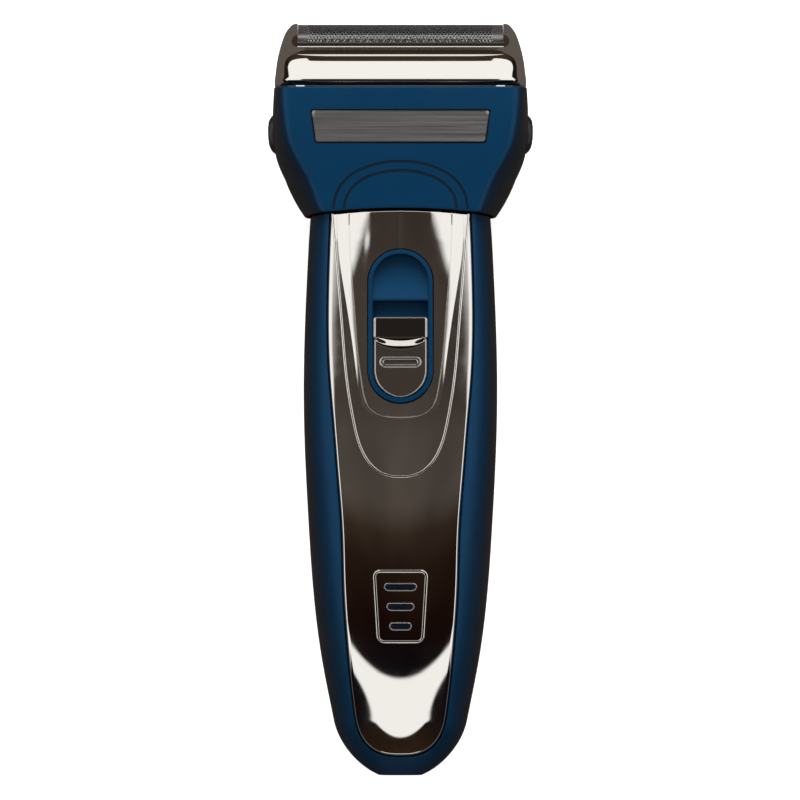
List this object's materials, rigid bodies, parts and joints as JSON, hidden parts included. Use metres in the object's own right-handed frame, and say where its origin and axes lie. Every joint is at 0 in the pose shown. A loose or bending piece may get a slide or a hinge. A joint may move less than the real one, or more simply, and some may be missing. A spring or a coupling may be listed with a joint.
{
  "type": "electric foil shaver",
  "caption": "Rechargeable foil shaver lying on its back: waisted handle with a chrome panel and sliding switch, wide head with a perforated foil under a chrome frame.",
  "frame": {"origin": "under the middle of the shaver, on the surface it lies on", "axes": "+X across the width, +Y from the charging end towards the foil, +Z towards the side with the switch"},
  "size_m": [0.0564, 0.16, 0.0346],
  "materials": {
    "body_blue": "satin metallic dark blue paint",
    "chrome_trim": "polished plating",
    "foil_steel": "electroformed, perforated",
    "brushed_plate": "brushed along its length",
    "black_plastic": "fine texture",
    "smoked_lens": "glossy smoked blue",
    "lamp": "clear epoxy, unlit",
    "board": "solder mask",
    "white_nylon": "moulded",
    "battery_wrap": "shrink sleeve over a steel can",
    "steel": "plated",
    "brass_contact": "bright",
    "rubber_seal": "matt"
  },
  "bodies": {
    "handle": {"front_shell": "body_blue", "rear_shell": "body_blue", "case_screw_1": "steel", "case_screw_2": "steel", "case_screw_3": "steel", "case_screw_4": "steel", "front_panel": "chrome_trim", "light_guide": "smoked_lens", "switch_surround": "body_blue", "board_switch": "steel", "circuit_board": "board", "charge_lamp_1": "lamp", "charge_lamp_2": "lamp", "charge_lamp_3": "lamp", "smoothing_capacitor": "black_plastic", "battery_cell": "battery_wrap", "battery_nub": "steel", "battery_strip_plus": "steel", "battery_strip_minus": "steel", "inner_chassis": "black_plastic", "motor_can": "steel", "motor_end_cap": "white_nylon", "motor_terminal_1": "brass_contact", "motor_terminal_2": "brass_contact", "neck_plate": "black_plastic", "shaft_seal": "rubber_seal", "charge_socket": "black_plastic", "socket_pin": "brass_contact"},
    "switch": {"switch_slider": "black_plastic", "switch_cap": "chrome_trim", "board_switch_knob": "black_plastic"},
    "rotor": {"motor_shaft": "steel", "eccentric_cam": "white_nylon", "eccentric_pin": "steel"},
    "head": {"head_housing": "body_blue", "name_plate": "brushed_plate", "head_chassis": "black_plastic", "button_spring_1": "steel", "button_spring_2": "steel"},
    "button_left": {"release_button_left": "black_plastic"},
    "button_right": {"release_button_right": "black_plastic"},
    "cutter": {"drive_bridge": "white_nylon", "cutter_spring": "steel", "cutter_carrier": "black_plastic", "cutter_blades": "steel"},
    "cassette": {"foil_frame": "chrome_trim", "foil": "foil_steel", "foil_end_1": "black_plastic", "foil_end_2": "black_plastic"}
  },
  "joints": [
    {"name": "switch_slide", "type": "slide", "parent": "handle", "child": "switch", "axis": [0, 0.9985, -0.0549], "range_m": [0, 0.0034]},
    {"name": "motor_spin", "type": "hinge", "parent": "handle", "child": "rotor", "pos_m": [0, 0.033, 0.0165], "axis": [0, 1, 0], "continuous": true},
    {"name": "head_release", "type": "slide", "parent": "handle", "child": "head", "axis": [0, 1, 0], "range_m": [0, 0.02]},
    {"name": "button_left_press", "type": "slide", "parent": "head", "child": "button_left", "axis": [1, 0, 0], "range_m": [0, 0.0012], "stiffness_N_per_m": 800, "springref_m": -0.001, "deforming": ["button_spring_1"]},
    {"name": "button_right_press", "type": "slide", "parent": "head", "child": "button_right", "axis": [-1, 0, 0], "range_m": [0, 0.0012], "stiffness_N_per_m": 800, "springref_m": -0.001, "deforming": ["button_spring_2"]},
    {"name": "cutter_stroke", "type": "slide", "parent": "head", "child": "cutter", "axis": [1, 0, 0], "range_m": [-0.001, 0.001], "stiffness_N_per_m": 500},
    {"name": "cassette_release", "type": "slide", "parent": "head", "child": "cassette", "axis": [0, 1, 0], "range_m": [0, 0.02]}
  ]
}
